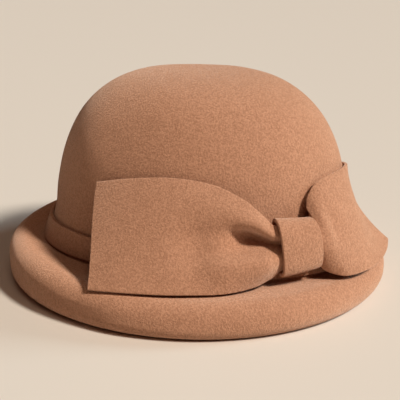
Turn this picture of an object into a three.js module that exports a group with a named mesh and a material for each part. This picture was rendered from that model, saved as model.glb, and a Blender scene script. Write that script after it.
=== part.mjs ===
// Felt cloche hat: a round crown, a brim rounded down and tucked under at its edge, a flat felt band
// and a wide felt bow held by a knot. Millimetres, +Z up. The front of the hat looks along -Y, and the
// hat rests on z = 0. Angles go round the hat from the front, toward +X.
import * as THREE from "three";

// Felt
const FELT = 2.2;            // thickness of the hat's own felt
const TRIM_FELT = 2.3;       // thickness of the band, bow and knot strips
const GAP = 0.35;            // air between pieces that lie on each other

// Crown: outer half sizes at its base, and its height
const CROWN_HALF_LENGTH = 101.2;
const CROWN_HALF_WIDTH = 84.4;
const CROWN_BASE_Z = 21.5;
const CROWN_TOP_Z = 137.4;
const CROWN_ROUNDNESS = 3.03; // 2 is an ellipse, larger is fuller at the shoulder
const CROWN_TAPER = 0.05;     // share of the plan size lost from base to top
const CROWN_FORWARD = 2.0;    // the crown stands this much in front of the brim's centre
const CROWN_ASIDE = 0.75;     // and this much toward +X

// Foot of the crown, where its wall turns out into the brim
const FLARE_START_Z = 42;     // below this height the wall leans outward
const FLARE_LEAD = 10;        // the lean begins softly within this length
const FLARE_RADIUS = 55;
const FLARE_SLOPE = 0.29;
const FOOT_MEAN_Z = 21.0;
const FOOT_OVAL = 2.5;        // the foot is this much lower in front and behind, higher at the sides
const FOOT_RADIUS = 3.2;

// Brim: outer half sizes, and the height of its crest
const BRIM_HALF_LENGTH = 128.8;
const BRIM_HALF_WIDTH = 125.5;
const CREST_MEAN = 26.35;
const CREST_FRONT_BACK = 5.7; // the crest is this much lower in front and higher behind
const CREST_OVAL = 2.3;       // and this much lower at the sides
const EDGE_TOP_RADIUS = 10.9; // the outside of the brim's edge is rounded down by this radius
const EDGE_LOW_RADIUS = 9.6;  // and rounded under by this one
const TUCK = 18;              // the felt is tucked under this far along the surface below

// Band round the crown's foot
const BAND_LIFT = 2.6;        // the band's lower edge is this far above the foot
const BAND_HEIGHT = 14.6;

// Knot: a strip wrapped round the bow's pinched middle
const KNOT_TOP_ANGLE = -46.1;  // degrees round the hat from the front
const KNOT_LOW_ANGLE = -44.6;
const KNOT_HALF_ANGLE = 6.8;
const KNOT_OUT = 13.6;         // middle of the loop, out from the crown
const KNOT_Z = 47.0;
const KNOT_HALF_DEPTH = 7.6;   // to the middle of the strip's thickness
const KNOT_HALF_HEIGHT = 15.65;
const KNOT_NARROWING = 0.07;   // share of its height lost from its middle to its right side
const KNOT_ROUNDNESS = 2.5;

// Bow strip
const BOW_LOW_Z = 25;          // usual height of the lower edge
const BOW_HEIGHT = 60;         // from there to the highest part of the upper edge
const BOW_REACH = 38.5;        // farthest distance of the lower edge out from the crown
const FOLD_DEPTH = 8;
const END_HOLLOW = 1.8;        // degrees by which the cut ends curve in
const CREASE_UP = 0.6;         // place of the crease between the lower edge (0) and the upper edge (1)
const CREASE_DROP = 0.5;       // how fast that place sinks along the left wing
const CREASE_LOW_SPREAD = 0.12;  // its half width toward each edge, as a share of the strip's width
const CREASE_HIGH_SPREAD = 0.16;
const CREASE_OPENING = 0.2;    // how fast its upper side widens along the left wing
const CREASE_STEEPNESS = 3;

// Stations from the left end through the knot to the right end. Angles are in degrees; rise is a
// share of the bow's height above its low height, out a share of its reach; lobe, crease and bulge
// are shares of the fold depth and shape the strip between its two edges.
const STATION_COLUMNS = [
  "along", "topAngle", "topRise", "topOut", "lowAngle", "lowRise", "lowOut", "lobe", "crease", "bulge",
];
const BOW_STATIONS = [
  [-1, -118.2, 0.85, 0.083, -105.5, -0.01, 1, 0, 0, 0.075],
  [-0.75, -103.6, 0.948, 0.078, -95, 0.01, 0.922, 0, 0.025, 0.2],
  [-0.5, -87, 1, 0.078, -83, 0.007, 0.792, 0.037, 0.125, 0.325],
  [-0.3, -72, 0.95, 0.104, -70, 0, 0.644, 0.15, 0.688, 0.7],
  [-0.17, -62.5, 0.833, 0.221, -60, 0.02, 0.455, 0.275, 2.125, 1],
  [-0.12, -58.8, 0.743, 0.291, -55.9, 0.057, 0.377, 0.25, 2.05, 1.025],
  [-0.095, -56.2, 0.667, 0.327, -53.4, 0.09, 0.353, 0.15, 1.55, 0.8],
  [-0.08, -54.2, 0.603, 0.345, -52, 0.13, 0.345, 0.1, 1.15, 0.6],
  [0, -46.1, 0.58, 0.348, -44.6, 0.16, 0.348, 0.075, 0.438, 0.525],
  [0.08, -39, 0.567, 0.335, -37.5, 0.17, 0.343, 0, 0, 0.6],
  [0.095, -37.8, 0.613, 0.208, -36.2, 0.123, 0.358, 0, 0, 0.95],
  [0.12, -37.2, 0.687, 0.114, -35, 0.073, 0.39, 0, 0, 1.175],
  [0.17, -35.2, 0.793, 0.081, -32.6, 0.03, 0.468, 0, 0, 1.175],
  [0.3, -29, 0.9, 0.073, -28.5, -0.003, 0.605, 0, 0, 0.625],
  [0.5, -13, 0.93, 0.068, -18, -0.007, 0.686, 0, 0, 0],
  [0.75, 4, 0.893, 0.062, -4.5, 0, 0.691, 0, 0, -0.925],
  [1, 20, 0.817, 0.068, 6.5, 0.027, 0.701, 0, 0, -1.2],
].map((row) => Object.fromEntries(row.map((value, i) => [STATION_COLUMNS[i], value])));

// Mesh steps
const AROUND = 56;
const CROWN_ROWS = 12;
const EDGE_STEPS = 4;
const BEND_STEPS = 3;
const BAND_AROUND = 64;
const BAND_ROWS = 2;
const PINCH_ALONG = 0.08;      // the bow's stations on both sides of the knot
const PINCH_STEPS = 3;
const WING_STEPS = 19;
const WING_CROWDING = 1.5;     // above 1, the steps crowd toward the knot
const BOW_ACROSS = 14;
const KNOT_AROUND = 26;
const KNOT_ACROSS = 6;

const HALF_FELT = FELT / 2;
const MID_LENGTH = CROWN_HALF_LENGTH - HALF_FELT;
const MID_WIDTH = CROWN_HALF_WIDTH - HALF_FELT;
const MID_TOP = CROWN_TOP_Z - HALF_FELT;
const DEG = Math.PI / 180;
const SMALL = 1e-3;

function clamp(value, low, high) {
  return Math.min(high, Math.max(low, value));
}

// Share of the crown's plan size left at a height
function crownShare(z) {
  const s = clamp((z - CROWN_BASE_Z) / (MID_TOP - CROWN_BASE_Z), 0, 1);
  return Math.pow(1 - Math.pow(s, CROWN_ROUNDNESS), 1 / CROWN_ROUNDNESS) * (1 - CROWN_TAPER * s);
}

function crownPlan(angle, share) {
  const x = MID_WIDTH * share * Math.sin(angle);
  const y = -MID_LENGTH * share * Math.cos(angle);
  return new THREE.Vector2(x + CROWN_ASIDE, y - CROWN_FORWARD);
}

function brimPlan(angle) {
  const x = (BRIM_HALF_WIDTH - HALF_FELT) * Math.sin(angle);
  const y = -(BRIM_HALF_LENGTH - HALF_FELT) * Math.cos(angle);
  return new THREE.Vector2(x, y);
}

function crestHeight(angle) {
  return CREST_MEAN - CREST_FRONT_BACK * Math.cos(angle) + CREST_OVAL * Math.cos(2 * angle);
}

function footHeight(angle) {
  return FOOT_MEAN_Z - FOOT_OVAL * Math.cos(2 * angle);
}

// A path of straight lines with rounded corners. Each corner gives steps + 1 points with tangents.
function roundedPath(corners) {
  const points = [];
  const last = corners.length - 1;
  for (let i = 0; i <= last; i++) {
    const here = new THREE.Vector2(corners[i].out, corners[i].z);
    if (i === 0 || i === last) {
      const other = i === 0 ? corners[1] : corners[last - 1];
      const tangent = new THREE.Vector2(other.out, other.z).sub(here).normalize();
      if (i === last) tangent.negate();
      points.push({ out: here.x, z: here.y, tangent });
      continue;
    }
    const before = new THREE.Vector2(corners[i - 1].out, corners[i - 1].z);
    const after = new THREE.Vector2(corners[i + 1].out, corners[i + 1].z);
    const inDir = here.clone().sub(before).normalize();
    const outDir = after.clone().sub(here).normalize();
    const turn = Math.atan2(inDir.cross(outDir), inDir.dot(outDir));
    const reach = corners[i].radius * Math.tan(Math.abs(turn) / 2);
    const side = Math.sign(turn);
    const start = here.clone().addScaledVector(inDir, -reach);
    const inward = new THREE.Vector2(-inDir.y, inDir.x).multiplyScalar(side);
    const centre = start.clone().addScaledVector(inward, corners[i].radius);
    const steps = corners[i].steps;
    for (let k = 0; k <= steps; k++) {
      const step = turn * k / steps;
      const tangent = inDir.clone().rotateAround(new THREE.Vector2(0, 0), step);
      const spoke = new THREE.Vector2(tangent.y, -tangent.x).multiplyScalar(side * corners[i].radius);
      const point = centre.clone().add(spoke);
      points.push({ out: point.x, z: point.y, tangent });
    }
  }
  return points;
}

// The felt's middle line down the crown's wall, out over the brim's crest, down its edge and under
function brimSection(angle) {
  const width = brimPlan(angle).distanceTo(crownPlan(angle, 1));
  const foot = footHeight(angle);
  return roundedPath([
    { out: 0, z: FLARE_START_Z + FLARE_LEAD },
    { out: 0, z: FLARE_START_Z, radius: FLARE_RADIUS, steps: BEND_STEPS },
    { out: FLARE_SLOPE * (FLARE_START_Z - foot), z: foot, radius: FOOT_RADIUS, steps: BEND_STEPS },
    { out: width, z: crestHeight(angle) - HALF_FELT, radius: EDGE_TOP_RADIUS - HALF_FELT, steps: EDGE_STEPS },
    { out: width, z: HALF_FELT, radius: EDGE_LOW_RADIUS - HALF_FELT, steps: EDGE_STEPS },
    { out: width - TUCK, z: HALF_FELT },
  ]);
}

// A point of the hat's middle surface: share scales the crown's plan, out adds to it
function bodyPoint(angle, share, out, z) {
  const crown = crownPlan(angle, share);
  const direction = brimPlan(angle).sub(crownPlan(angle, 1)).normalize();
  return new THREE.Vector3(crown.x + direction.x * out, crown.y + direction.y * out, z);
}

// Rows of the hat's middle surface at one angle, each with the direction down the row
function bodyColumn(angle) {
  const rows = [];
  for (const row of crownRows) {
    const point = bodyPoint(angle, row.share, 0, row.z);
    const next = bodyPoint(angle, row.shareNext, 0, row.zNext);
    rows.push({ point, tangent: next.sub(point).normalize() });
  }
  for (const spot of brimSection(angle)) {
    const point = bodyPoint(angle, crownShare(spot.z), spot.out, spot.z);
    const z = spot.z + spot.tangent.y * SMALL;
    const next = bodyPoint(angle, crownShare(z), spot.out + spot.tangent.x * SMALL, z);
    rows.push({ point, tangent: next.sub(point).normalize() });
  }
  return rows;
}

// Crown rows at even steps along its profile, from just below the top to the start of the flare
function crownProfile() {
  const fine = [];
  const count = 1200;
  for (let i = 0; i <= count; i++) {
    const turn = Math.PI / 2 * (1 - i / count);
    const s = Math.pow(Math.sin(turn), 2 / CROWN_ROUNDNESS);
    const z = CROWN_BASE_Z + (MID_TOP - CROWN_BASE_Z) * s;
    const share = Math.pow(Math.cos(turn), 2 / CROWN_ROUNDNESS) * (1 - CROWN_TAPER * s);
    fine.push({ share: i === 0 ? 0 : share, z });
    if (z < FLARE_START_Z + FLARE_LEAD) break;
  }
  const lengths = [0];
  for (let i = 1; i < fine.length; i++) {
    const across = (fine[i].share - fine[i - 1].share) * MID_WIDTH;
    lengths.push(lengths[i - 1] + Math.hypot(across, fine[i].z - fine[i - 1].z));
  }
  const total = lengths[lengths.length - 1];
  const rows = [];
  for (let r = 1; r <= CROWN_ROWS; r++) {
    const want = total * r / (CROWN_ROWS + 1);
    const i = lengths.findIndex((length) => length >= want);
    rows.push({ share: fine[i].share, z: fine[i].z, shareNext: fine[i + 1].share, zNext: fine[i + 1].z });
  }
  return rows;
}

const crownRows = crownProfile();

function normalAt(tangent, around) {
  return tangent.clone().cross(around).normalize();
}

// Collects vertices and faces of one closed body
class Shell {
  constructor() {
    this.positions = [];
    this.faces = [];
  }
  add(point) {
    this.positions.push(point.x, point.y, point.z);
    return this.positions.length / 3 - 1;
  }
  quad(a, b, c, d) {
    this.faces.push(a, b, c, a, c, d);
  }
  mesh(name, material) {
    const geometry = new THREE.BufferGeometry();
    geometry.setAttribute("position", new THREE.Float32BufferAttribute(this.positions, 3));
    geometry.setIndex(this.faces);
    geometry.computeVertexNormals();
    const mesh = new THREE.Mesh(geometry, material);
    mesh.name = name;
    return mesh;
  }
}

function felt(colour) {
  return new THREE.MeshStandardMaterial({ color: new THREE.Color(...colour), roughness: 0.95, metalness: 0 });
}

function hatBody() {
  const shell = new Shell();
  const outer = [];
  const inner = [];
  for (let i = 0; i < AROUND; i++) {
    const angle = 2 * Math.PI * i / AROUND;
    const column = bodyColumn(angle);
    const before = bodyColumn(angle - SMALL);
    const after = bodyColumn(angle + SMALL);
    outer.push([]);
    inner.push([]);
    column.forEach((row, r) => {
      const around = after[r].point.clone().sub(before[r].point).normalize();
      const normal = normalAt(row.tangent, around);
      outer[i].push(shell.add(row.point.clone().addScaledVector(normal, HALF_FELT)));
      inner[i].push(shell.add(row.point.clone().addScaledVector(normal, -HALF_FELT)));
    });
  }
  const topOuter = shell.add(new THREE.Vector3(CROWN_ASIDE, -CROWN_FORWARD, CROWN_TOP_Z));
  const topInner = shell.add(new THREE.Vector3(CROWN_ASIDE, -CROWN_FORWARD, CROWN_TOP_Z - FELT));
  const last = outer[0].length - 1;
  for (let i = 0; i < AROUND; i++) {
    const j = (i + 1) % AROUND;
    shell.faces.push(topOuter, outer[i][0], outer[j][0]);
    shell.faces.push(topInner, inner[j][0], inner[i][0]);
    for (let r = 0; r < last; r++) {
      shell.quad(outer[i][r], outer[i][r + 1], outer[j][r + 1], outer[j][r]);
      shell.quad(inner[j][r], inner[j][r + 1], inner[i][r + 1], inner[i][r]);
    }
    shell.quad(outer[i][last], inner[i][last], inner[j][last], outer[j][last]);
  }
  return shell.mesh("hat_body", felt([0.70, 0.49, 0.37]));
}

// The crown's wall at a height: middle point and outward normal
function wallAt(angle, z) {
  const spotAt = (height) => {
    const path = brimSection(angle);
    const i = path.findIndex((spot) => spot.z <= height);
    const high = path[i - 1];
    const low = path[i];
    const part = (high.z - height) / (high.z - low.z);
    return bodyPoint(angle, crownShare(height), high.out + (low.out - high.out) * part, height);
  };
  const point = spotAt(z);
  const tangent = spotAt(z - 0.5).sub(spotAt(z + 0.5)).normalize();
  const around = crownPlan(angle + SMALL, 1).sub(crownPlan(angle - SMALL, 1)).normalize();
  return { point, normal: normalAt(tangent, new THREE.Vector3(around.x, around.y, 0)) };
}

function hatBand() {
  const shell = new Shell();
  const rings = [];
  const near = HALF_FELT + GAP;
  for (let i = 0; i < BAND_AROUND; i++) {
    const angle = 2 * Math.PI * i / BAND_AROUND;
    const low = footHeight(angle) + BAND_LIFT;
    const ring = [];
    for (let k = 0; k <= BAND_ROWS; k++) {
      const wall = wallAt(angle, low + BAND_HEIGHT * k / BAND_ROWS);
      ring.push(shell.add(wall.point.clone().addScaledVector(wall.normal, near)));
    }
    for (let k = BAND_ROWS; k >= 0; k--) {
      const wall = wallAt(angle, low + BAND_HEIGHT * k / BAND_ROWS);
      ring.push(shell.add(wall.point.clone().addScaledVector(wall.normal, near + TRIM_FELT)));
    }
    rings.push(ring);
  }
  const size = rings[0].length;
  for (let i = 0; i < BAND_AROUND; i++) {
    const j = (i + 1) % BAND_AROUND;
    for (let k = 0; k < size; k++) {
      const m = (k + 1) % size;
      shell.quad(rings[i][k], rings[i][m], rings[j][m], rings[j][k]);
    }
  }
  return shell.mesh("hat_band", felt([0.60, 0.40, 0.29]));
}

// A point at an angle and height, a distance out from the crown's outer surface
function outFromCrown(angle, z, out) {
  const share = crownShare(z);
  const plan = crownPlan(angle, share);
  const nearby = crownPlan(angle + SMALL, share).sub(crownPlan(angle - SMALL, share)).normalize();
  const reach = out + HALF_FELT;
  return new THREE.Vector3(plan.x + nearby.y * reach, plan.y - nearby.x * reach, z);
}

// Smooth values between the bow's stations
function stationAt(along) {
  let i = BOW_STATIONS.findIndex((station) => station.along >= along);
  i = clamp(i, 1, BOW_STATIONS.length - 1);
  const b = BOW_STATIONS[i - 1];
  const c = BOW_STATIONS[i];
  const a = BOW_STATIONS[Math.max(0, i - 2)];
  const d = BOW_STATIONS[Math.min(BOW_STATIONS.length - 1, i + 1)];
  const span = c.along - b.along;
  const t = (along - b.along) / span;
  const value = {};
  for (const key of Object.keys(b)) {
    const slopeB = c === a || b === a ? (c[key] - b[key]) / span : (c[key] - a[key]) / (c.along - a.along);
    const slopeC = d === c ? (c[key] - b[key]) / span : (d[key] - b[key]) / (d.along - b.along);
    const h1 = 2 * t ** 3 - 3 * t ** 2 + 1;
    const h2 = t ** 3 - 2 * t ** 2 + t;
    const h3 = -2 * t ** 3 + 3 * t ** 2;
    const h4 = t ** 3 - t ** 2;
    value[key] = h1 * b[key] + h2 * span * slopeB + h3 * c[key] + h4 * span * slopeC;
  }
  return value;
}

// The bow's middle surface; up runs from the lower edge (0) to the upper edge (1)
function bowPoint(along, up) {
  const s = stationAt(along);
  const bulge = 4 * up * (1 - up);
  const hollow = END_HOLLOW * bulge * Math.sign(along) * along ** 6;
  const angle = (s.lowAngle + (s.topAngle - s.lowAngle) * up - hollow) * DEG;
  const z = BOW_LOW_Z + BOW_HEIGHT * (s.lowRise + (s.topRise - s.lowRise) * up);
  const lobes = Math.sin(2 * Math.PI * up) ** 2;
  const fromCrease = up - CREASE_UP - CREASE_DROP * along;
  const spread = fromCrease < 0 ? CREASE_LOW_SPREAD : CREASE_HIGH_SPREAD - CREASE_OPENING * along;
  const crease = Math.exp(-(Math.abs(fromCrease / spread) ** CREASE_STEEPNESS));
  const lean = BOW_REACH * (s.lowOut + (s.topOut - s.lowOut) * up);
  const fold = FOLD_DEPTH * (s.lobe * lobes - s.crease * crease + s.bulge * bulge);
  return outFromCrown(angle, z, lean + fold);
}

// Even steps inside the knot, then longer ones out to the ends
function alongAt(step) {
  const count = Math.abs(step);
  if (count <= PINCH_STEPS) return PINCH_ALONG * step / PINCH_STEPS;
  const part = (count - PINCH_STEPS) / WING_STEPS;
  return Math.sign(step) * (PINCH_ALONG + (1 - PINCH_ALONG) * part ** WING_CROWDING);
}

function bow() {
  const shell = new Shell();
  const half = PINCH_STEPS + WING_STEPS;
  const last = 2 * half;
  const front = [];
  const back = [];
  for (let i = 0; i <= last; i++) {
    const along = alongAt(i - half);
    front.push([]);
    back.push([]);
    for (let k = 0; k <= BOW_ACROSS; k++) {
      const up = k / BOW_ACROSS;
      const point = bowPoint(along, up);
      const sideways = bowPoint(along + SMALL, up).sub(bowPoint(along - SMALL, up));
      const upward = bowPoint(along, up + SMALL).sub(bowPoint(along, up - SMALL));
      const normal = sideways.cross(upward).normalize();
      front[i].push(shell.add(point.clone().addScaledVector(normal, TRIM_FELT / 2)));
      back[i].push(shell.add(point.clone().addScaledVector(normal, -TRIM_FELT / 2)));
    }
  }
  for (let i = 0; i < last; i++) {
    for (let k = 0; k < BOW_ACROSS; k++) {
      shell.quad(front[i][k], front[i + 1][k], front[i + 1][k + 1], front[i][k + 1]);
      shell.quad(back[i][k], back[i][k + 1], back[i + 1][k + 1], back[i + 1][k]);
    }
    shell.quad(front[i][0], back[i][0], back[i + 1][0], front[i + 1][0]);
    const top = BOW_ACROSS;
    shell.quad(front[i][top], front[i + 1][top], back[i + 1][top], back[i][top]);
  }
  for (let k = 0; k < BOW_ACROSS; k++) {
    shell.quad(front[0][k], front[0][k + 1], back[0][k + 1], back[0][k]);
    shell.quad(front[last][k], back[last][k], back[last][k + 1], front[last][k + 1]);
  }
  return shell.mesh("bow", felt([0.68, 0.47, 0.35]));
}

function knot() {
  const shell = new Shell();
  const rings = [];
  const power = 2 / KNOT_ROUNDNESS;
  for (let i = 0; i <= KNOT_ACROSS; i++) {
    const across = 2 * i / KNOT_ACROSS - 1;
    const ring = { outside: [], inside: [] };
    for (let k = 0; k < KNOT_AROUND; k++) {
      const turn = 2 * Math.PI * k / KNOT_AROUND;
      const c = Math.cos(turn);
      const s = Math.sin(turn);
      for (const side of ["outside", "inside"]) {
        const grow = side === "outside" ? TRIM_FELT / 2 : -TRIM_FELT / 2;
        const out = KNOT_OUT + (KNOT_HALF_DEPTH + grow) * Math.sign(c) * Math.abs(c) ** power;
        const height = KNOT_HALF_HEIGHT * (1 - KNOT_NARROWING * across) + grow;
        const z = KNOT_Z + height * Math.sign(s) * Math.abs(s) ** power;
        const up = (z - KNOT_Z) / (2 * KNOT_HALF_HEIGHT) + 0.5;
        const angle = KNOT_LOW_ANGLE + (KNOT_TOP_ANGLE - KNOT_LOW_ANGLE) * up + KNOT_HALF_ANGLE * across;
        ring[side].push(shell.add(outFromCrown(angle * DEG, z, out)));
      }
    }
    rings.push(ring);
  }
  for (let k = 0; k < KNOT_AROUND; k++) {
    const m = (k + 1) % KNOT_AROUND;
    for (let i = 0; i < KNOT_ACROSS; i++) {
      const here = rings[i];
      const next = rings[i + 1];
      shell.quad(here.outside[k], next.outside[k], next.outside[m], here.outside[m]);
      shell.quad(here.inside[k], here.inside[m], next.inside[m], next.inside[k]);
    }
    const first = rings[0];
    const end = rings[KNOT_ACROSS];
    shell.quad(first.outside[k], first.outside[m], first.inside[m], first.inside[k]);
    shell.quad(end.outside[k], end.inside[k], end.inside[m], end.outside[m]);
  }
  return shell.mesh("bow_knot", felt([0.70, 0.49, 0.37]));
}

const hat = new THREE.Group();
hat.add(hatBody(), hatBand(), bow(), knot());

// The box round the whole hat is centred on the origin
const box = new THREE.Box3().setFromObject(hat);
const centre = box.getCenter(new THREE.Vector3());
for (const mesh of hat.children) mesh.geometry.translate(-centre.x, -centre.y, 0);

export default hat;
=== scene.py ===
import math

import bpy
import numpy as np
from mathutils import Matrix, Vector


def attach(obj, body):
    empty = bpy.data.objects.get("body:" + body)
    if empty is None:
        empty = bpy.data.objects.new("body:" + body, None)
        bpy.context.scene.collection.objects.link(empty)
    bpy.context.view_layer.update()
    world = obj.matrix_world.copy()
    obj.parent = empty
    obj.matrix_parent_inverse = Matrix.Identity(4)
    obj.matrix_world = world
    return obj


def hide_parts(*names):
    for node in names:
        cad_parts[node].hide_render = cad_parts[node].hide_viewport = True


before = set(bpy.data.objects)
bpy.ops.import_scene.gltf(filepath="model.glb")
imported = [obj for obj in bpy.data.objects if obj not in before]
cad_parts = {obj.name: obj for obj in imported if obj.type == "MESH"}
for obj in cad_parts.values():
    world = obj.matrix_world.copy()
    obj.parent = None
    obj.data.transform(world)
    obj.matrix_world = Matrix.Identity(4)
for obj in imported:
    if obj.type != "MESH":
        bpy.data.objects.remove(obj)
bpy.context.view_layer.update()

MM = 0.001

# Felt
FELT = 2.2
TRIM_FELT = 2.3
GAP = 0.35
EDGE_ROUNDING = 0.6          # radius of the cut edges of band, bow and knot

# Crown and brim, the same sizes as the CAD part, in millimetres
CROWN_HALF_LENGTH = 101.2
CROWN_HALF_WIDTH = 84.4
CROWN_BASE_Z = 21.5
CROWN_TOP_Z = 137.4
CROWN_ROUNDNESS = 3.03
CROWN_TAPER = 0.05
CROWN_FORWARD = 2.0
CROWN_ASIDE = 0.75
FLARE_START_Z = 42
FLARE_LEAD = 10
FLARE_RADIUS = 55
FLARE_SLOPE = 0.29
FOOT_MEAN_Z = 21.0
FOOT_OVAL = 2.5
FOOT_RADIUS = 3.2
BRIM_HALF_LENGTH = 128.8
BRIM_HALF_WIDTH = 125.5
CREST_MEAN = 26.35
CREST_FRONT_BACK = 5.7
CREST_OVAL = 2.3
EDGE_TOP_RADIUS = 10.9
EDGE_LOW_RADIUS = 9.6
TUCK = 18
BRIM_CENTRE = (0, 0.847)     # the CAD part is centred on its box

# Band
BAND_LIFT = 2.6
BAND_HEIGHT = 14.6

# Knot
KNOT_TOP_ANGLE = -46.1
KNOT_LOW_ANGLE = -44.6
KNOT_HALF_ANGLE = 6.8
KNOT_OUT = 13.6
KNOT_Z = 47.0
KNOT_HALF_DEPTH = 7.6
KNOT_HALF_HEIGHT = 15.65
KNOT_NARROWING = 0.07
KNOT_ROUNDNESS = 2.5

# Bow strip by stations, from the left end through the knot to the right end, as in the CAD part.
# Angles are in degrees, rises are shares of BOW_HEIGHT, outs of BOW_REACH, and the last three
# columns of FOLD_DEPTH.
BOW_LOW_Z = 25
BOW_HEIGHT = 60
BOW_REACH = 38.5
FOLD_DEPTH = 8
END_HOLLOW = 1.8
CREASE_UP = 0.6
CREASE_DROP = 0.5
CREASE_LOW_SPREAD = 0.12
CREASE_HIGH_SPREAD = 0.16
CREASE_OPENING = 0.2
CREASE_STEEPNESS = 3
STATION_COLUMNS = ("along", "top_angle", "top_rise", "top_out", "low_angle", "low_rise", "low_out",
                   "lobe", "crease", "bulge")
BOW_STATIONS = np.array([
    (-1, -118.2, 0.85, 0.083, -105.5, -0.01, 1, 0, 0, 0.075),
    (-0.75, -103.6, 0.948, 0.078, -95, 0.01, 0.922, 0, 0.025, 0.2),
    (-0.5, -87, 1, 0.078, -83, 0.007, 0.792, 0.037, 0.125, 0.325),
    (-0.3, -72, 0.95, 0.104, -70, 0, 0.644, 0.15, 0.688, 0.7),
    (-0.17, -62.5, 0.833, 0.221, -60, 0.02, 0.455, 0.275, 2.125, 1),
    (-0.12, -58.8, 0.743, 0.291, -55.9, 0.057, 0.377, 0.25, 2.05, 1.025),
    (-0.095, -56.2, 0.667, 0.327, -53.4, 0.09, 0.353, 0.15, 1.55, 0.8),
    (-0.08, -54.2, 0.603, 0.345, -52, 0.13, 0.345, 0.1, 1.15, 0.6),
    (0, -46.1, 0.58, 0.348, -44.6, 0.16, 0.348, 0.075, 0.438, 0.525),
    (0.08, -39, 0.567, 0.335, -37.5, 0.17, 0.343, 0, 0, 0.6),
    (0.095, -37.8, 0.613, 0.208, -36.2, 0.123, 0.358, 0, 0, 0.95),
    (0.12, -37.2, 0.687, 0.114, -35, 0.073, 0.39, 0, 0, 1.175),
    (0.17, -35.2, 0.793, 0.081, -32.6, 0.03, 0.468, 0, 0, 1.175),
    (0.3, -29, 0.9, 0.073, -28.5, -0.003, 0.605, 0, 0, 0.625),
    (0.5, -13, 0.93, 0.068, -18, -0.007, 0.686, 0, 0, 0),
    (0.75, 4, 0.893, 0.062, -4.5, 0, 0.691, 0, 0, -0.925),
    (1, 20, 0.817, 0.068, 6.5, 0.027, 0.701, 0, 0, -1.2),
])

# Soft dents pressed into the bow: place along and up, their spreads, and the depth in millimetres
DENT_COLUMNS = ("along", "up", "along_spread", "up_spread", "depth")
BOW_DENTS = (
    (-0.40, 0.38, 0.07, 0.28, 3.0),
    (0.24, 0.60, 0.08, 0.20, 2.4),
)

# Uneven felt: waves on the body, by seed of the draw, size of a wave and height, in millimetres
WAVE_COLUMNS = ("seed", "size", "height")
WAVES = (
    (3, 60, 0.22),
    (4, 20, 0.05),
)
WAVE_COUNT = 9
WAVE_SIZE_RANGE = (0.7, 1.5)

# Where the waves fade in: the place where they begin, and how much farther on they are full
WAVE_ABOVE_BAND = (46, 12)   # by height, on the crown
WAVE_ON_BRIM = (9, 6)        # by distance from the crown's foot, seen from above
WAVE_OVER_FLOOR = (3, 6)     # by height, on the brim

# Mesh steps
AROUND = 252
CROWN_ROWS = 110
PROFILE_STEPS = 6000         # fine steps along the crown, from which its even rows are read
CROWN_CLEARANCE = 0.2        # the crown's rows stop at least this far above the brim's section
POLE_RISE = 0.01             # the top point stands this far above the ring round it
BRIM_ROW_LENGTH = 1.5
EDGE_STEPS = 14
BEND_STEPS = 8
BOW_ALONG = 250
BOW_ACROSS = 84
BOW_CROWDING = 1.25          # above 1, the steps crowd toward the knot
BAND_AROUND = 400
BAND_ACROSS = 10
KNOT_AROUND = 150
KNOT_ACROSS = 36
KNOT_TURN_START = 0.011      # radians round the loop to its first row of points
EDGE_MARGIN = 0.03           # share of the bow's width taken by the row of faces beside each edge
EDGE_TURNS = (30, 60, 90)    # degrees round a cut edge

HALF_FELT = FELT / 2
MID_LENGTH = CROWN_HALF_LENGTH - HALF_FELT
MID_WIDTH = CROWN_HALF_WIDTH - HALF_FELT
MID_TOP = CROWN_TOP_Z - HALF_FELT
SMALL = 1e-3


def unit(v):
    return v / np.linalg.norm(v, axis=-1, keepdims=True)


def crown_share(z):
    s = np.clip((z - CROWN_BASE_Z) / (MID_TOP - CROWN_BASE_Z), 0, 1)
    return (1 - s ** CROWN_ROUNDNESS) ** (1 / CROWN_ROUNDNESS) * (1 - CROWN_TAPER * s)


def crown_plan(angle, share):
    x = MID_WIDTH * share * np.sin(angle) + CROWN_ASIDE
    y = -MID_LENGTH * share * np.cos(angle) - CROWN_FORWARD
    return np.stack([x, y], -1)


def brim_plan(angle):
    x = (BRIM_HALF_WIDTH - HALF_FELT) * np.sin(angle)
    y = -(BRIM_HALF_LENGTH - HALF_FELT) * np.cos(angle)
    return np.stack([x, y], -1)


def crest_height(angle):
    return CREST_MEAN - CREST_FRONT_BACK * math.cos(angle) + CREST_OVAL * math.cos(2 * angle)


def foot_height(angle):
    return FOOT_MEAN_Z - FOOT_OVAL * np.cos(2 * angle)


def rounded_path(corners):
    """Straight lines with rounded corners: rows of (out, z, tangent out, tangent z)."""
    rows = []
    spots = [np.array(corner[:2], float) for corner in corners]
    last = len(corners) - 1
    for i, here in enumerate(spots):
        if i in (0, last):
            other = spots[1] if i == 0 else spots[last - 1]
            tangent = unit(other - here) if i == 0 else unit(here - other)
            rows.append((*here, *tangent))
            continue
        radius, steps = corners[i][2:]
        inward = unit(here - spots[i - 1])
        outward = unit(spots[i + 1] - here)
        turn = math.atan2(inward[0] * outward[1] - inward[1] * outward[0], float(inward @ outward))
        side = math.copysign(1, turn)
        start = here - inward * radius * math.tan(abs(turn) / 2)
        centre = start + np.array([-inward[1], inward[0]]) * side * radius
        for k in range(steps + 1):
            c, s = math.cos(turn * k / steps), math.sin(turn * k / steps)
            tangent = np.array([c * inward[0] - s * inward[1], s * inward[0] + c * inward[1]])
            point = centre + np.array([tangent[1], -tangent[0]]) * side * radius
            rows.append((*point, *tangent))
    return np.array(rows)


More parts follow.
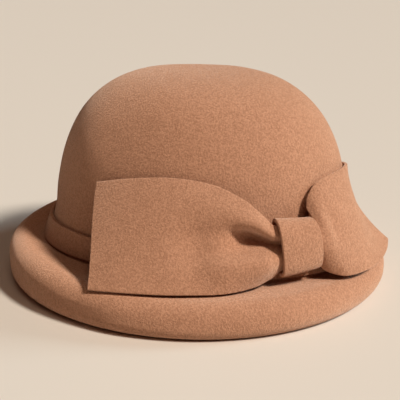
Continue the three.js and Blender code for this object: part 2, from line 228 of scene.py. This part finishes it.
def brim_section(angle):
    width = float(np.linalg.norm(brim_plan(angle) - crown_plan(angle, 1)))
    foot = foot_height(angle)
    return rounded_path([
        (0, FLARE_START_Z + FLARE_LEAD),
        (0, FLARE_START_Z, FLARE_RADIUS, BEND_STEPS),
        (FLARE_SLOPE * (FLARE_START_Z - foot), foot, FOOT_RADIUS, BEND_STEPS),
        (width, crest_height(angle) - HALF_FELT, EDGE_TOP_RADIUS - HALF_FELT, EDGE_STEPS),
        (width, HALF_FELT, EDGE_LOW_RADIUS - HALF_FELT, EDGE_STEPS),
        (width - TUCK, HALF_FELT),
    ])


def body_points(angle, share, out, z):
    """Points of the hat's middle surface at one angle."""
    direction = unit(brim_plan(angle) - crown_plan(angle, 1))
    plan = crown_plan(angle, np.asarray(share)) + direction * np.asarray(out)[..., None]
    return np.concatenate([plan, np.asarray(z)[..., None]], -1)


def crown_profile():
    """Even rows down the crown, from below its top to above the flare: shares and heights."""
    turn = np.linspace(math.pi / 2, 0, PROFILE_STEPS)
    s = np.sin(turn) ** (2 / CROWN_ROUNDNESS)
    z = CROWN_BASE_Z + (MID_TOP - CROWN_BASE_Z) * s
    share = np.cos(turn) ** (2 / CROWN_ROUNDNESS) * (1 - CROWN_TAPER * s)
    keep = z > FLARE_START_Z + FLARE_LEAD + CROWN_CLEARANCE
    z, share = z[keep], share[keep]
    length = np.concatenate([[0], np.cumsum(np.hypot(np.diff(share) * MID_WIDTH, np.diff(z)))])
    want = np.linspace(0, length[-1], CROWN_ROWS + 1)[1:]
    return np.interp(want, length, share), np.interp(want, length, z)


CROWN_SHARES, CROWN_HEIGHTS = crown_profile()


def even_rows(points, tangents):
    """Splits the long stretches of a brim section, so that no row is far from the next."""
    out_points, out_tangents = [points[0]], [tangents[0]]
    for i in range(1, len(points)):
        count = SPLITS[i - 1]
        for k in range(1, count + 1):
            out_points.append(points[i - 1] + (points[i] - points[i - 1]) * k / count)
            out_tangents.append(tangents[i - 1] + (tangents[i] - tangents[i - 1]) * k / count)
    return np.array(out_points), np.array(out_tangents)


def body_column(angle):
    """The middle surface at one angle, from the crown's top to the tucked edge, and its tangents."""
    section = brim_section(angle)
    section, tangent = even_rows(section[:, :2], section[:, 2:])
    out, z = section[:, 0], section[:, 1]
    lower = body_points(angle, crown_share(z), out, z)
    z2 = z + tangent[:, 1] * SMALL
    lower_next = body_points(angle, crown_share(z2), out + tangent[:, 0] * SMALL, z2)
    upper = body_points(angle, CROWN_SHARES, np.zeros(CROWN_ROWS), CROWN_HEIGHTS)
    upper_tangent = unit(np.gradient(upper, axis=0))
    points = np.concatenate([upper, lower[1:]])
    tangents = np.concatenate([upper_tangent, unit(lower_next - lower)[1:]])
    return points, tangents


# Each stretch is split the same way at every angle, counted on one section
PROBE = brim_section(math.radians(60))[:, :2]
STRETCHES = np.linalg.norm(np.diff(PROBE, axis=0), axis=1)
SPLITS = [max(1, math.ceil(length / BRIM_ROW_LENGTH)) for length in STRETCHES]


def make_mesh(name, points, quads, extra_faces=()):
    mesh = bpy.data.meshes.new(name)
    points = (np.asarray(points) + np.array([*BRIM_CENTRE, 0])) * MM
    faces = [tuple(int(i) for i in face) for group in (quads, extra_faces) for face in group]
    mesh.from_pydata([tuple(p) for p in points], [], faces)
    mesh.update()
    mesh.polygons.foreach_set("use_smooth", [True] * len(mesh.polygons))
    obj = bpy.data.objects.new(name, mesh)
    bpy.context.scene.collection.objects.link(obj)
    return obj


def grid_quads(rows, columns, start, closed_rows=False, flip=False):
    """Quads of a grid whose points are stored row by row."""
    i = np.arange(rows if closed_rows else rows - 1)
    k = np.arange(columns - 1)
    a, b = np.meshgrid(i, k, indexing="ij")
    a, b = a.ravel(), b.ravel()
    c = (a + 1) % rows
    here = start + a * columns + b
    beyond = start + c * columns + b
    quads = np.stack([here, here + 1, beyond + 1, beyond], 1)
    return quads[:, ::-1] if flip else quads


def unevenness(points, seed, size, height):
    """Gentle waves in the felt: a sum of sine waves of about one size."""
    rng = np.random.default_rng(seed)
    total = np.zeros(points.shape[:-1])
    for _ in range(WAVE_COUNT):
        direction = rng.normal(size=3)
        direction *= 2 * math.pi / (size * rng.uniform(*WAVE_SIZE_RANGE)) / np.linalg.norm(direction)
        total += np.sin(points @ direction + rng.uniform(0, 2 * math.pi))
    return total * height / math.sqrt(WAVE_COUNT)


def fade(values, start, length):
    """From 0 at start to 1 a length farther on."""
    return np.clip((values - start) / length, 0, 1)


def build_body():
    angles = np.linspace(0, 2 * math.pi, AROUND, endpoint=False)
    columns = [body_column(a) for a in angles]
    points = np.array([c[0] for c in columns])
    tangents = np.array([c[1] for c in columns])
    around = unit(np.roll(points, -1, axis=0) - np.roll(points, 1, axis=0))
    normals = unit(np.cross(tangents, around))
    wave = sum(unevenness(points, **dict(zip(WAVE_COLUMNS, row))) for row in WAVES)
    foot = np.array([crown_plan(a, 1) for a in angles])[:, None]
    beside = np.linalg.norm(points[..., :2] - foot, axis=-1)
    above_band = fade(points[..., 2], *WAVE_ABOVE_BAND)
    on_brim = fade(beside, *WAVE_ON_BRIM) * fade(points[..., 2], *WAVE_OVER_FLOOR)
    points = points + normals * (wave * np.maximum(above_band, on_brim))[..., None]
    outer = points + normals * HALF_FELT
    inner = points - normals * HALF_FELT
    rows = points.shape[1]
    top = points[:, 0].mean(axis=0)
    poles = np.array([[*top[:2], ring[:, 0, 2].mean() + POLE_RISE] for ring in (outer, inner)])
    all_points = np.concatenate([outer.reshape(-1, 3), inner.reshape(-1, 3), poles])
    half = AROUND * rows
    quads = [grid_quads(AROUND, rows, 0, True), grid_quads(AROUND, rows, half, True, True)]
    i = np.arange(AROUND)
    j = (i + 1) % AROUND
    here = i * rows + rows - 1
    beyond = j * rows + rows - 1
    quads.append(np.stack([here, half + here, half + beyond, beyond], 1))
    fans = [(2 * half, a * rows, b * rows) for a, b in zip(i, j)]
    fans += [(2 * half + 1, half + b * rows, half + a * rows) for a, b in zip(i, j)]
    return make_mesh("felt_body", all_points, np.concatenate(quads), fans)


def out_from_crown(angle, z, out):
    """A point at a distance out from the crown's face, square to its plan."""
    share = crown_share(z)
    plan = crown_plan(angle, share)
    across = unit(crown_plan(angle + SMALL, share) - crown_plan(angle - SMALL, share))
    reach = (out + HALF_FELT)[..., None]
    plan = plan + np.stack([across[..., 1], -across[..., 0]], -1) * reach
    return np.concatenate([plan, z[..., None]], -1)


def station_values(along):
    """Smooth values between the bow's stations, by columns."""
    table = BOW_STATIONS
    x = table[:, 0]
    slopes = np.empty_like(table)
    slopes[1:-1] = (table[2:] - table[:-2]) / (x[2:] - x[:-2])[:, None]
    slopes[0] = (table[1] - table[0]) / (x[1] - x[0])
    slopes[-1] = (table[-1] - table[-2]) / (x[-1] - x[-2])
    i = np.clip(np.searchsorted(x, along) - 1, 0, len(x) - 2)
    span = (x[i + 1] - x[i])[..., None]
    t = ((along - x[i]) / span[..., 0])[..., None]
    values = (2 * t ** 3 - 3 * t ** 2 + 1) * table[i] + (t ** 3 - 2 * t ** 2 + t) * span * slopes[i]
    values += (-2 * t ** 3 + 3 * t ** 2) * table[i + 1] + (t ** 3 - t ** 2) * span * slopes[i + 1]
    return {name: values[..., n] for n, name in enumerate(STATION_COLUMNS)}


def bow_surface(along, up):
    """The bow's middle surface: along from -1 to 1, up from the lower edge to the upper one."""
    s = station_values(along)
    bulge = 4 * up * (1 - up)
    hollow = END_HOLLOW * bulge * np.sign(along) * along ** 6
    angle = np.radians(s["low_angle"] + (s["top_angle"] - s["low_angle"]) * up - hollow)
    z = BOW_LOW_Z + BOW_HEIGHT * (s["low_rise"] + (s["top_rise"] - s["low_rise"]) * up)
    lobes = np.sin(2 * math.pi * up) ** 2
    from_crease = up - CREASE_UP - CREASE_DROP * along
    spread = np.where(from_crease < 0, CREASE_LOW_SPREAD, CREASE_HIGH_SPREAD - CREASE_OPENING * along)
    crease = np.exp(-np.abs(from_crease / spread) ** CREASE_STEEPNESS)
    lean = BOW_REACH * (s["low_out"] + (s["top_out"] - s["low_out"]) * up)
    fold = FOLD_DEPTH * (s["lobe"] * lobes - s["crease"] * crease + s["bulge"] * bulge)
    for row in BOW_DENTS:
        dent = dict(zip(DENT_COLUMNS, row))
        away = ((along - dent["along"]) / dent["along_spread"]) ** 2
        away = away + ((up - dent["up"]) / dent["up_spread"]) ** 2
        fold = fold - dent["depth"] * np.exp(-away)
    return out_from_crown(angle, z, lean + fold)


def thick_strip(name, surface, u_values, v_values, thickness, closed=False):
    """A felt strip: surface(u, v) is its middle, with softly rounded cut edges."""
    half = thickness / 2
    r = EDGE_ROUNDING
    uu, vv = np.meshgrid(u_values, v_values, indexing="ij")
    along_u = surface(uu + SMALL, vv) - surface(uu - SMALL, vv)
    along_v = surface(uu, vv + SMALL) - surface(uu, vv - SMALL)
    per_u = np.linalg.norm(along_u, axis=-1) / (2 * SMALL)
    per_v = np.linalg.norm(along_v, axis=-1) / (2 * SMALL)

    def layer(inward, offset):
        """The strip's surface, moved off its middle and drawn in at its cut edges."""
        u = uu.copy()
        v = vv.copy()
        v[:, 0] += inward / per_v[:, 0]
        v[:, -1] -= inward / per_v[:, -1]
        if not closed:
            u[0] += inward / per_u[0]
            u[-1] -= inward / per_u[-1]
        du = surface(u + SMALL, v) - surface(u - SMALL, v)
        dv = surface(u, v + SMALL) - surface(u, v - SMALL)
        return surface(u, v) + unit(np.cross(du, dv)) * offset

    front = layer(r, half)
    back = layer(r, -half)
    nu, nv = front.shape[:2]
    points = [front.reshape(-1, 3), back.reshape(-1, 3)]
    quads = [grid_quads(nu, nv, 0, closed, True), grid_quads(nu, nv, nu * nv, closed)]
    count = 2 * nu * nv

    def loop_indices():
        """The grid's points along its cut edges, as closed loops."""
        if closed:
            return [[(i, 0) for i in range(nu)], [(i, nv - 1) for i in range(nu)][::-1]]
        ring = [(i, 0) for i in range(nu)] + [(nu - 1, k) for k in range(1, nv)]
        ring += [(i, nv - 1) for i in range(nu - 2, -1, -1)]
        ring += [(0, k) for k in range(nv - 2, 0, -1)]
        return [ring]

    turns = np.radians(EDGE_TURNS)
    rounding = [(r * (1 - math.sin(t)), half - r * (1 - math.cos(t))) for t in turns]
    edge_layers = [layer(inward, offset) for inward, offset in rounding]
    edge_layers += [layer(inward, -offset) for inward, offset in rounding[::-1]]
    for ring in loop_indices():
        size = len(ring)
        i, k = np.array(ring).T
        lines = [i * nv + k]
        for edge in edge_layers:
            points.append(edge[i, k])
            lines.append(count + np.arange(size))
            count += size
        lines.append(nu * nv + i * nv + k)
        for one, two in zip(lines, lines[1:]):
            quads.append(np.stack([one, two, np.roll(two, -1), np.roll(one, -1)], 1))
    return make_mesh(name, np.concatenate(points), np.concatenate(quads))


def build_bow():
    even = np.linspace(-1, 1, BOW_ALONG + 1)
    along = np.sign(even) * np.abs(even) ** BOW_CROWDING
    inside = np.linspace(EDGE_MARGIN, 1 - EDGE_MARGIN, BOW_ACROSS - 1)
    up = np.concatenate([[0], inside, [1]])
    return thick_strip("felt_bow", bow_surface, along, up, TRIM_FELT)


def wall_table():
    """The straight part of the crown's flaring wall, from the section with the lowest foot."""
    section = brim_section(0.0)[: BEND_STEPS + 3]
    section = section[np.argsort(section[:, 1])]
    lean = CROWN_TAPER * MID_WIDTH / (MID_TOP - CROWN_BASE_Z)
    return section[:, 1], section[:, 0], -section[:, 2] / section[:, 3] + lean


WALL_Z, WALL_OUT, WALL_SLOPE = wall_table()


def band_surface(angle, up):
    """The band's middle surface lies on the crown's flaring wall."""
    z = foot_height(angle) + BAND_LIFT + BAND_HEIGHT * up
    out = np.interp(z, WALL_Z, WALL_OUT)
    slope = np.interp(z, WALL_Z, WALL_SLOPE)
    reach = HALF_FELT + GAP + TRIM_FELT / 2
    direction = unit(brim_plan(angle) - crown_plan(angle, 1))
    plan = crown_plan(angle, crown_share(z)) + direction * out[..., None]
    across = unit(crown_plan(angle + SMALL, 1) - crown_plan(angle - SMALL, 1))
    lean = 1 / np.hypot(1, slope)
    plan = plan + np.stack([across[..., 1], -across[..., 0]], -1) * (reach * lean)[..., None]
    return np.concatenate([plan, (z + reach * slope * lean)[..., None]], -1)


def build_band():
    angles = np.linspace(0, 2 * math.pi, BAND_AROUND, endpoint=False)
    up = np.linspace(0, 1, BAND_ACROSS + 1)
    return thick_strip("felt_band", band_surface, angles, up, TRIM_FELT, closed=True)


def knot_surface(turn, across):
    """The knot's middle surface: turn goes round the loop, across from its left to its right."""
    power = 2 / KNOT_ROUNDNESS
    c, s = np.cos(turn), np.sin(turn)
    out = KNOT_OUT + KNOT_HALF_DEPTH * np.sign(c) * np.abs(c) ** power
    height = KNOT_HALF_HEIGHT * (1 - KNOT_NARROWING * across)
    z = KNOT_Z + height * np.sign(s) * np.abs(s) ** power
    up = (z - KNOT_Z) / (2 * KNOT_HALF_HEIGHT) + 0.5
    angle = KNOT_LOW_ANGLE + (KNOT_TOP_ANGLE - KNOT_LOW_ANGLE) * up + KNOT_HALF_ANGLE * across
    return out_from_crown(np.radians(angle), z, out)


def build_knot():
    turns = np.linspace(0, 2 * math.pi, KNOT_AROUND, endpoint=False) + KNOT_TURN_START
    across = np.linspace(-1, 1, KNOT_ACROSS + 1)

    def facing_out(turn, side):
        return knot_surface(turn, -side)

    return thick_strip("felt_knot", facing_out, turns, across, TRIM_FELT, closed=True)


# Felt's colour and nap. Noise scales are per metre.
LIGHT_FELT = (0.61, 0.322, 0.197)
DARK_FELT = (0.48, 0.238, 0.138)
SHEEN_TINT = (1.0, 0.86, 0.74)
SURFACE = {
    "Roughness": 0.95,
    "Diffuse Roughness": 0.9,
    "Specular IOR Level": 0.12,
    "Sheen Weight": 0.4,
    "Sheen Roughness": 0.35,
}
NOISE_COLUMNS = ("Scale", "Detail", "Roughness")
GRAIN = (760, 4, 0.62)
CLUMPS = (190, 3, 0.6)
CLOUDS = (28, 2, 0.5)
FINE_NAP = (1500, 3, 0.7)
GRAIN_SHARE = 0.75
CLUMPS_SHARE = 0.15
CLOUDS_SHARE = 0.1
DARK_FROM = 0.42
LIGHT_FROM = 0.58
BUMP_GRAIN_SHARE = 0.6
BUMP_NAP_SHARE = 0.4
BUMP_STRENGTH = 0.9
BUMP_DISTANCE = 0.0014       # metres


def felt_material(name):
    """Brushed wool felt: mottled colour, a fine matted nap and a soft sheen."""
    material = bpy.data.materials.new(name)
    material.use_nodes = True
    nodes = material.node_tree.nodes
    links = material.node_tree.links
    shader = nodes["Principled BSDF"]
    for socket_name, value in SURFACE.items():
        shader.inputs[socket_name].default_value = value
    shader.inputs["Sheen Tint"].default_value = (*SHEEN_TINT, 1)
    place = nodes.new("ShaderNodeTexCoord")

    def noise(row):
        node = nodes.new("ShaderNodeTexNoise")
        for column, value in zip(NOISE_COLUMNS, row):
            node.inputs[column].default_value = value
        links.new(place.outputs["Object"], node.inputs["Vector"])
        return node.outputs["Fac"]

    def maths(kind, one, two):
        node = nodes.new("ShaderNodeMath")
        node.operation = kind
        for socket, value in zip(node.inputs, (one, two)):
            if isinstance(value, (int, float)):
                socket.default_value = value
            else:
                links.new(value, socket)
        return node.outputs[0]

    def blend(one, one_share, two, two_share):
        return maths("ADD", maths("MULTIPLY", one, one_share), maths("MULTIPLY", two, two_share))

    grain = noise(GRAIN)
    mix = blend(grain, GRAIN_SHARE, noise(CLUMPS), CLUMPS_SHARE)
    mix = maths("ADD", mix, maths("MULTIPLY", noise(CLOUDS), CLOUDS_SHARE))
    ramp = nodes.new("ShaderNodeValToRGB")
    ramp.color_ramp.elements[0].position = DARK_FROM
    ramp.color_ramp.elements[0].color = (*DARK_FELT, 1)
    ramp.color_ramp.elements[1].position = LIGHT_FROM
    ramp.color_ramp.elements[1].color = (*LIGHT_FELT, 1)
    links.new(mix, ramp.inputs["Fac"])
    links.new(ramp.outputs["Color"], shader.inputs["Base Color"])
    height = blend(grain, BUMP_GRAIN_SHARE, noise(FINE_NAP), BUMP_NAP_SHARE)
    bump = nodes.new("ShaderNodeBump")
    bump.inputs["Strength"].default_value = BUMP_STRENGTH
    bump.inputs["Distance"].default_value = BUMP_DISTANCE
    links.new(height, bump.inputs["Height"])
    links.new(bump.outputs["Normal"], shader.inputs["Normal"])
    return material


def plain_material(name, colour, roughness):
    material = bpy.data.materials.new(name)
    material.use_nodes = True
    shader = material.node_tree.nodes["Principled BSDF"]
    shader.inputs["Base Color"].default_value = (*colour, 1)
    shader.inputs["Roughness"].default_value = roughness
    return material


# The hat's pieces
body = build_body()
band = build_band()
bow = build_bow()
knot = build_knot()

for piece, node, slot in (
    (body, "hat_body", "body_felt"),
    (band, "hat_band", "band_felt"),
    (bow, "bow", "bow_felt"),
    (knot, "bow_knot", "knot_felt"),
):
    piece.data.materials.append(felt_material(slot))
    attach(piece, "root")
    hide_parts(node)


# Floor
FLOOR_HALF_SIZE = 6.0        # metres
FLOOR_COLOUR = (0.71, 0.63, 0.55)
FLOOR_ROUGHNESS = 0.6


def build_floor():
    mesh = bpy.data.meshes.new("floor")
    half = FLOOR_HALF_SIZE
    corners = [(-half, -half, 0), (half, -half, 0), (half, half, 0), (-half, half, 0)]
    mesh.from_pydata(corners, [], [(0, 1, 2, 3)])
    floor = bpy.data.objects.new("floor", mesh)
    bpy.context.scene.collection.objects.link(floor)
    floor.data.materials.append(plain_material("floor_paper", FLOOR_COLOUR, FLOOR_ROUGHNESS))
    return floor


build_floor()

# Camera: angles in degrees, distances in millimetres, and picture sizes in pixels
CAMERA_AZIMUTH = -75.0
CAMERA_ELEVATION = 17.24
CAMERA_DISTANCE = 620.0
CAMERA_ROLL = 0.73
CAMERA_TARGET = (BRIM_CENTRE[0] + CROWN_ASIDE, BRIM_CENTRE[1] - CROWN_FORWARD, 55)
FOCAL_PIXELS = 905.2
TARGET_RIGHT = 0.4           # how far the target lies right of the picture's centre, and above it
TARGET_UP = 12.1
PICTURE = 400
SENSOR_WIDTH = 36
CLIP_START = 0.01            # metres


def direction_from(azimuth, elevation):
    a, e = math.radians(azimuth), math.radians(elevation)
    return Vector((math.sin(a) * math.cos(e), -math.cos(a) * math.cos(e), math.sin(e)))


def build_camera():
    data = bpy.data.cameras.new("camera")
    camera = bpy.data.objects.new("camera", data)
    bpy.context.scene.collection.objects.link(camera)
    target = Vector(CAMERA_TARGET) * MM
    away = direction_from(CAMERA_AZIMUTH, CAMERA_ELEVATION)
    turn = (-away).to_track_quat("-Z", "Y").to_matrix().to_4x4()
    roll = Matrix.Rotation(math.radians(CAMERA_ROLL), 4, "Z")
    camera.matrix_world = Matrix.Translation(target + away * CAMERA_DISTANCE * MM) @ turn @ roll
    data.sensor_width = SENSOR_WIDTH
    data.lens = FOCAL_PIXELS / PICTURE * data.sensor_width
    data.shift_x = -TARGET_RIGHT / PICTURE
    data.shift_y = -TARGET_UP / PICTURE
    data.clip_start = CLIP_START
    bpy.context.scene.camera = camera


build_camera()


# Light: wide distant lamps, so that the floor is lit evenly. Angles and widths are in degrees.
WORLD_COLOUR = (1.0, 0.50, 0.36)
WORLD_STRENGTH = 0.06
LAMP_COLUMNS = ("name", "azimuth", "elevation", "width", "strength", "colour")
LAMPS = (
    ("key", -17, 45, 10, 3.65, (1.0, 0.96, 0.88)),
    ("side", 25, 22, 20, 1.5, (0.78, 1.0, 1.12)),
    ("fill", -60, 62, 25, 0.30, (1.0, 0.82, 0.64)),
)


def build_lamp(name, azimuth, elevation, width, strength, colour):
    data = bpy.data.lights.new(name, "SUN")
    data.angle = math.radians(width)
    data.energy = strength
    data.color = colour
    lamp = bpy.data.objects.new(name, data)
    bpy.context.scene.collection.objects.link(lamp)
    away = direction_from(azimuth, elevation)
    lamp.location = away
    lamp.rotation_euler = (-away).to_track_quat("-Z", "Y").to_euler()


for row in LAMPS:
    build_lamp(**dict(zip(LAMP_COLUMNS, row)))

world = bpy.data.worlds.new("world")
bpy.context.scene.world = world
world.use_nodes = True
background = world.node_tree.nodes["Background"]
background.inputs["Color"].default_value = (*WORLD_COLOUR, 1)
background.inputs["Strength"].default_value = WORLD_STRENGTH

bpy.context.scene.view_settings.view_transform = "Standard"
